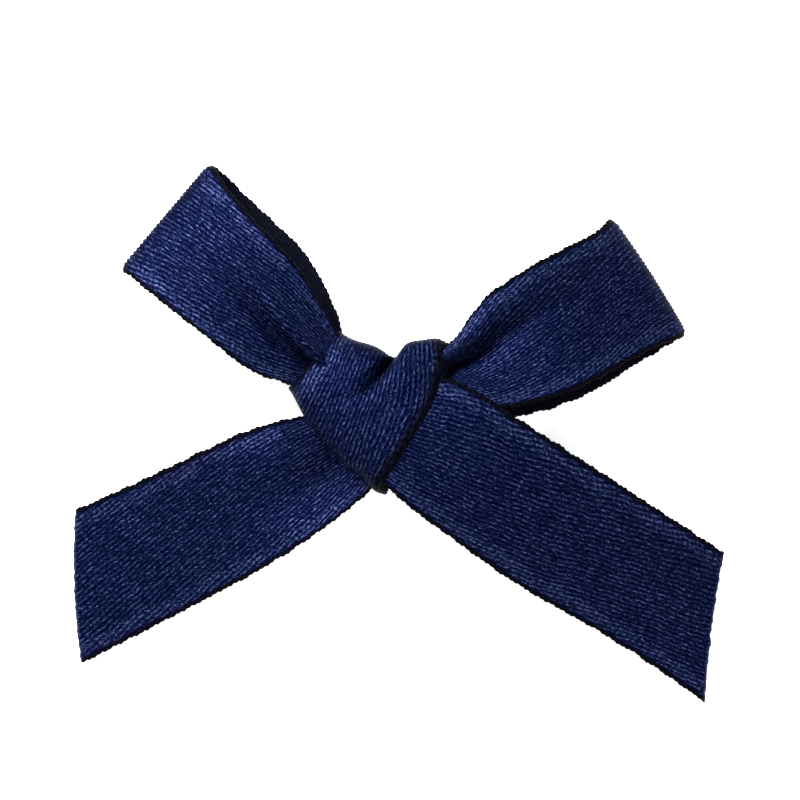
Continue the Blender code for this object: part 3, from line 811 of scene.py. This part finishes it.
class Graph:
    """Short names for building one material's nodes."""

    def __init__(self, name):
        self.material = bpy.data.materials.new(name)
        self.material.use_nodes = True
        self.tree = self.material.node_tree
        self.shader = self.tree.nodes["Principled BSDF"]

    def node(self, kind, **settings):
        made = self.tree.nodes.new(kind)
        for key, value in settings.items():
            setattr(made, key, value)
        return made

    def link(self, source, target):
        self.tree.links.new(source, target)

    def feed(self, socket, value):
        if isinstance(value, bpy.types.NodeSocket):
            self.link(value, socket)
        else:
            socket.default_value = value

    def math(self, operation, first, second=0.0, third=0.0, clamp=False):
        made = self.node("ShaderNodeMath", operation=operation, use_clamp=clamp)
        for socket, value in zip(made.inputs, (first, second, third)):
            self.feed(socket, value)
        return made.outputs[0]

    def wave(self, phase):
        """A cosine from 0 to 1, one turn for each whole number of the phase."""
        turned = self.math("COSINE", self.math("MULTIPLY", phase, 2 * math.pi))
        return self.math("MULTIPLY_ADD", turned, 0.5, 0.5)

    def fade(self, value, low, high, start=0.0, end=1.0):
        """Goes smoothly from start to end as the value goes from low to high."""
        made = self.node("ShaderNodeMapRange", interpolation_type="SMOOTHSTEP")
        for socket, number in zip(made.inputs[:5], (value, low, high, start, end)):
            self.feed(socket, number)
        return made.outputs[0]

    def mix(self, factor, first, second):
        """Two colours mixed: sockets 6 and 7 are the node's colours A and B, and output 2 is its colour."""
        made = self.node("ShaderNodeMix", data_type="RGBA")
        self.feed(made.inputs["Factor"], factor)
        self.feed(made.inputs[6], first)
        self.feed(made.inputs[7], second)
        return made.outputs[2]

    def ramp(self, factor, stops):
        made = self.node("ShaderNodeValToRGB")
        self.link(factor, made.inputs[0])
        for _ in stops[2:]:
            made.color_ramp.elements.new(0.5)
        for element, (place, colour) in zip(made.color_ramp.elements, stops):
            element.position = place
            element.color = (*colour, 1)
        return made.outputs[0]

    def noise(self, vector, scale, detail=2.0, stretch=(1, 1, 1)):
        place = self.node("ShaderNodeMapping")
        self.link(vector, place.inputs["Vector"])
        place.inputs["Scale"].default_value = stretch
        made = self.node("ShaderNodeTexNoise")
        self.link(place.outputs[0], made.inputs["Vector"])
        made.inputs["Scale"].default_value = scale
        made.inputs["Detail"].default_value = detail
        return made.outputs["Fac"]

    def bump(self, height, strength, distance):
        made = self.node("ShaderNodeBump")
        made.inputs["Strength"].default_value = strength
        made.inputs["Distance"].default_value = distance * MM
        self.link(height, made.inputs["Height"])
        self.link(made.outputs[0], self.shader.inputs["Normal"])


def satin_lustre(g, uv, warp, weft):
    """How bright the satin's yarns are at each place, with painted highlights along the floats and painted
    glints, and the fields that it is made of.
    """
    fibre = g.noise(uv, 1.0, 2, FIBRE_STRETCH)
    fine = g.noise(uv, 1.0, 1, FINE_STRETCH)
    streak = g.noise(uv, 1.0, 2, STREAK_STRETCH)
    cloud = g.noise(uv, CLOUD_SCALE, 2)
    # Slanting rows, a little crooked, each with a bright line along its middle, a painted highlight on the
    # floats
    rows = g.math("MULTIPLY", weft, math.cos(WEAVE_SLANT) / WEAVE_PITCH)
    rows = g.math("MULTIPLY_ADD", warp, -math.sin(WEAVE_SLANT) / WEAVE_PITCH, rows)
    rows = g.math("MULTIPLY_ADD", fibre, ROW_WOBBLE, g.math("SUBTRACT", rows, ROW_WOBBLE / 2))
    ridge = g.wave(rows)
    # The line breaks into floats, which start at another place in each row
    row_start = g.node("ShaderNodeTexWhiteNoise", noise_dimensions="1D")
    g.link(g.math("FLOOR", g.math("ADD", rows, 0.5)), row_start.inputs["W"])
    along = g.math("MULTIPLY_ADD", warp, 1 / FLOAT_LENGTH, row_start.outputs["Value"])
    beads = g.wave(g.math("MULTIPLY_ADD", fibre, FLOAT_WOBBLE, along))
    broken = g.math("MULTIPLY_ADD", beads, BEAD_SHARE, 1 - BEAD_SHARE)
    strokes = g.math("MULTIPLY", g.math("POWER", ridge, STROKE_SHARPNESS), broken)
    strokes = g.math("MULTIPLY", strokes, g.fade(fibre, *STROKE_CONTRAST))
    # Specks: painted glints on single fibres
    painted_glints = g.math("MULTIPLY", g.fade(fine, *GLINT_RANGE), g.fade(streak, *GLINT_STREAKS))
    # The weft coordinate is below zero on a ribbon woven the other way round
    half = RIBBON_WIDTH / 2
    from_middle = g.math("ABSOLUTE", g.math("SUBTRACT", g.math("ABSOLUTE", weft), half))
    from_edge = g.math("SUBTRACT", half, from_middle)
    cloth = g.fade(from_edge, *CLOTH_EDGE)
    band = g.math("MULTIPLY", g.fade(from_edge, *BAND_OUTER), g.fade(from_edge, *BAND_INNER))
    rungs = g.wave(g.math("MULTIPLY_ADD", warp, 1 / SCALLOP_PITCH, g.math("MULTIPLY", weft, RUNG_SLANT)))
    rungs = g.math("MULTIPLY", rungs, g.math("MULTIPLY", band, RUNG_LIGHT))
    lustre = g.math("ADD", g.math("ADD", g.math("MULTIPLY", strokes, STROKE_LIGHT), painted_glints), rungs)
    broad = g.math("ADD", cloud, g.math("MULTIPLY", band, BAND_LIGHT))
    lustre = g.math("MULTIPLY", lustre, g.math("MULTIPLY_ADD", broad, CLOUD_LIGHT, CLOUD_BASE))
    return g.math("MULTIPLY", lustre, cloth, clamp=True), cloth, ridge, fibre, fine


def satin_material():
    """Navy satin with its yarns and their painted highlights, corded edges, painted shade where it rolls
    under and sealed cuts with a painted highlight on one side, and a dull ribbed back.
    """
    g = Graph("navy_satin")
    uv = g.node("ShaderNodeUVMap", uv_map="ribbon").outputs[0]
    split = g.node("ShaderNodeSeparateXYZ")
    g.link(uv, split.inputs[0])
    warp, weft = split.outputs[0], split.outputs[1]
    lustre, cloth, ridge, fibre, fine = satin_lustre(g, uv, warp, weft)
    satin, shade, to_cut = (
        g.node("ShaderNodeAttribute", attribute_name=mark).outputs["Fac"]
        for mark in ("satin", "shade", "to_cut")
    )

    cord_colour = g.ramp(fine, CORD_COLOURS)
    # The satin's colour follows the lustre, so its bright strokes and glints are painted highlights in the
    # base colour
    face = g.mix(cloth, cord_colour, g.ramp(lustre, SATIN_COLOURS))
    ribs = g.wave(g.math("MULTIPLY", warp, 1 / BACK_RIB))
    dull = g.ramp(g.math("MULTIPLY_ADD", ribs, BACK_RIB_LIGHT, fibre), BACK_COLOURS)
    colour = g.mix(g.fade(satin, *SIDE_RANGE), dull, face)
    # Painted shade where the ribbon rolls under, in the cord's dark colour
    colour = g.mix(shade, colour, cord_colour)
    # Painted highlight along the melted bead at the cut, in patches
    sealed = g.math("MULTIPLY", g.fade(to_cut, *SEAL_RANGE), g.fade(fine, *SEAL_PATCHES))
    colour = g.mix(sealed, colour, (*SEAL_HIGHLIGHT, 1))
    g.link(colour, g.shader.inputs["Base Color"])

    yarns = g.math("MULTIPLY", g.math("ADD", fibre, fine), YARN_RELIEF)
    g.bump(g.math("ADD", g.math("MULTIPLY", ridge, ROW_RELIEF), yarns), *SATIN_BUMP)
    back_rough = g.fade(satin, *SIDE_RANGE, BACK_ROUGHNESS, 0.0)
    rough = g.math("MAXIMUM", g.fade(lustre, *LUSTRE_ROUGHNESS), back_rough)
    g.link(rough, g.shader.inputs["Roughness"])
    tangent = g.node("ShaderNodeTangent", direction_type="UV_MAP", uv_map="ribbon")
    g.link(tangent.outputs[0], g.shader.inputs["Tangent"])
    for socket, value in SATIN_SHEEN.items():
        g.shader.inputs[socket].default_value = value
    return g.material


def metal_material(name, colour, roughness):
    """Bright metal with faint brushing in its colour and its roughness."""
    g = Graph(name)
    place = g.node("ShaderNodeTexCoord").outputs["Object"]
    brushed = g.noise(place, BRUSH_SCALE, 3, BRUSH_STRETCH)
    smooth, dull = (roughness * share for share in BRUSH_ROUGHNESS)
    g.link(g.fade(brushed, *NOISE_RANGE, smooth, dull), g.shader.inputs["Roughness"])
    shade = g.mix(brushed, (*[part * BRUSH_DARKEST for part in colour], 1), (*colour, 1))
    g.link(shade, g.shader.inputs["Base Color"])
    g.shader.inputs["Metallic"].default_value = 1.0
    return g.material


def glue_material():
    """Hot-melt glue: milky, faintly yellow and glossy, with a slightly uneven skin."""
    g = Graph("hot_glue")
    place = g.node("ShaderNodeTexCoord").outputs["Object"]
    skin = g.noise(place, GLUE_SCALE, 2)
    g.link(g.mix(skin, GLUE_DARK, GLUE_LIGHT), g.shader.inputs["Base Color"])
    g.link(g.fade(skin, *NOISE_RANGE, *GLUE_ROUGHNESS), g.shader.inputs["Roughness"])
    g.shader.inputs["Subsurface Weight"].default_value = GLUE_SUBSURFACE
    g.shader.inputs["Subsurface Radius"].default_value = GLUE_RADIUS
    g.bump(skin, *GLUE_BUMP)
    return g.material


def put_material(obj, material):
    obj.data.materials.clear()
    obj.data.materials.append(material)


def stage():
    """The pale floor, the soft room and the two lights."""
    corners = [(x * FLOOR_SIDE, y * FLOOR_SIDE, 0) for x, y in ((-1, -1), (1, -1), (1, 1), (-1, 1))]
    floor_mesh = bpy.data.meshes.new("floor")
    floor_mesh.from_pydata(corners, [], [(0, 1, 2, 3)])
    floor = bpy.data.objects.new("floor", floor_mesh)
    bpy.context.scene.collection.objects.link(floor)
    floor.location.z = -FLOOR_DROP
    g = Graph("paper")
    g.shader.inputs["Base Color"].default_value = PAPER_COLOUR
    g.shader.inputs["Roughness"].default_value = FLOOR_ROUGHNESS
    g.shader.inputs["Emission Color"].default_value = WHITE
    g.shader.inputs["Emission Strength"].default_value = FLOOR_GLOW
    put_material(floor, g.material)
    world = bpy.data.worlds.new("soft_room")
    world.use_nodes = True
    world.node_tree.nodes["Background"].inputs["Color"].default_value = WHITE
    world.node_tree.nodes["Background"].inputs["Strength"].default_value = ROOM_LIGHT
    bpy.context.scene.world = world
    for light in LIGHTS:
        soft_light(*light)


def soft_light(name, place, size, power):
    """A round lamp at a place in metres, which faces the middle of the bow."""
    data = bpy.data.lights.new(name, "AREA")
    data.shape = "DISK"
    data.size = size
    data.energy = power
    light = bpy.data.objects.new(name, data)
    bpy.context.scene.collection.objects.link(light)
    light.location = place
    light.rotation_euler = (-Vector(place)).to_track_quat("-Z", "Y").to_euler()


def camera():
    """Straight down on the bow from far off, as flat as a product picture."""
    data = bpy.data.cameras.new("camera")
    data.sensor_width = CAMERA_SENSOR
    data.lens = CAMERA_SENSOR * (CAMERA_PLACE[2] - VIEW_HEIGHT_IN_BOW) / VIEW_WIDTH
    data.clip_start = CAMERA_NEAR
    obj = bpy.data.objects.new("camera", data)
    bpy.context.scene.collection.objects.link(obj)
    obj.location = CAMERA_PLACE
    bpy.context.scene.camera = obj


def build_ribbons():
    satin = satin_material()
    left_loop = loop_surface(
        LEFT_LOOP_LOWER, LEFT_LOOP_UPPER, LEFT_LOOP_SIDE, LEFT_BACK_SHIFT, left_loop_relief
    )
    right_loop = loop_surface(
        RIGHT_LOOP_LOWER, RIGHT_LOOP_UPPER, RIGHT_LOOP_SIDE, RIGHT_BACK_SHIFT, right_loop_relief,
        bulge=RIGHT_FOLD_BULGE, nub=RIGHT_FOLD_NUB,
    )
    left_tail = tail_surface(LEFT_TAIL_LOWER, LEFT_TAIL_UPPER, left_tail_relief, LEFT_CUT_BULGE)
    right_tail = tail_surface(RIGHT_TAIL_LOWER, RIGHT_TAIL_UPPER, right_tail_relief, RIGHT_CUT_BULGE)
    pieces = (
        (ribbon("left_loop_ribbon", left_loop, seed=11), "left_loop", "folded", ["glue_drop"]),
        (ribbon("right_loop_ribbon", right_loop, seed=22), "right_loop", "folded", ["glue_drop"]),
        (ribbon("left_tail_ribbon", left_tail, cut_end=True, seed=33), "left_tail", "laid", ["glue_drop"]),
        (
            ribbon("right_tail_ribbon", right_tail, cut_end=True, seed=44),
            "right_tail", "laid", ["rolled_core"],
        ),
        (
            ribbon("knot_wrap_ribbon", wrap_surface, closed=True, rim=WRAP_ROLL_SHADE, seed=55),
            "knot_wrap", "stretched", ["rolled_core"],
        ),
        (ribbon("rolled_core", core_surface, seed=66), "knot_core", "gathered", ["glue_drop"]),
    )
    for (piece, length), node, held, under in pieces:
        put_material(piece, satin)
        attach(piece, "bow")
        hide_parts(node)


def build_clip():
    nickel = metal_material("nickel", NICKEL_COLOUR, NICKEL_ROUGHNESS)
    along = np.linspace(-CLIP_REACH, CLIP_REACH, 160)
    bent = np.maximum(0, (PLATE_BEND_START - along) / (PLATE_BEND_START + CLIP_REACH))
    plate_line = np.column_stack([along, PLATE_HEIGHT + PLATE_END_LIFT * bent**2])
    jaw_line = np.concatenate([JAW_TAB, spline(JAW_ARCH, np.linspace(0, 1, LINE_STEPS))])
    outer = CLIP_WIDTH / 2 - EAR_THICK / 2
    inner = CLIP_WIDTH / 2 - 1.5 * EAR_THICK - EAR_GAP
    plate = [steel_strip(plate_line), ear(-outer, PLATE_HEIGHT), ear(outer, PLATE_HEIGHT)]
    jaw = [steel_strip(jaw_line), ear(-inner, JAW_FLOOR), ear(inner, JAW_FLOOR)]
    rigid = (
        ("steel_plate", plate, "clip_plate", "bow"),
        ("steel_prong", jaw, "clip_jaw", "jaw"),
        ("hinge_rivet", [turned(pin_profile())], "hinge_pin", "bow"),
    )
    for name, bodies, node, body in rigid:
        piece = lofts(name, bodies)
        put_material(piece, nickel)
        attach(piece, body)
        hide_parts(node)
    wire = lofts("spring_wire", [spring_wire()])
    put_material(wire, metal_material("spring_steel", WIRE_COLOUR, WIRE_ROUGHNESS))
    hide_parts("clip_spring")
    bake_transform(wire)
    glue = lofts("glue_drop", [glue_drop()])
    put_material(glue, glue_material())
    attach(glue, "bow")
    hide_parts("glue_pad")


bpy.context.scene.view_settings.view_transform = "Standard"
build_ribbons()
build_clip()
stage()
camera()
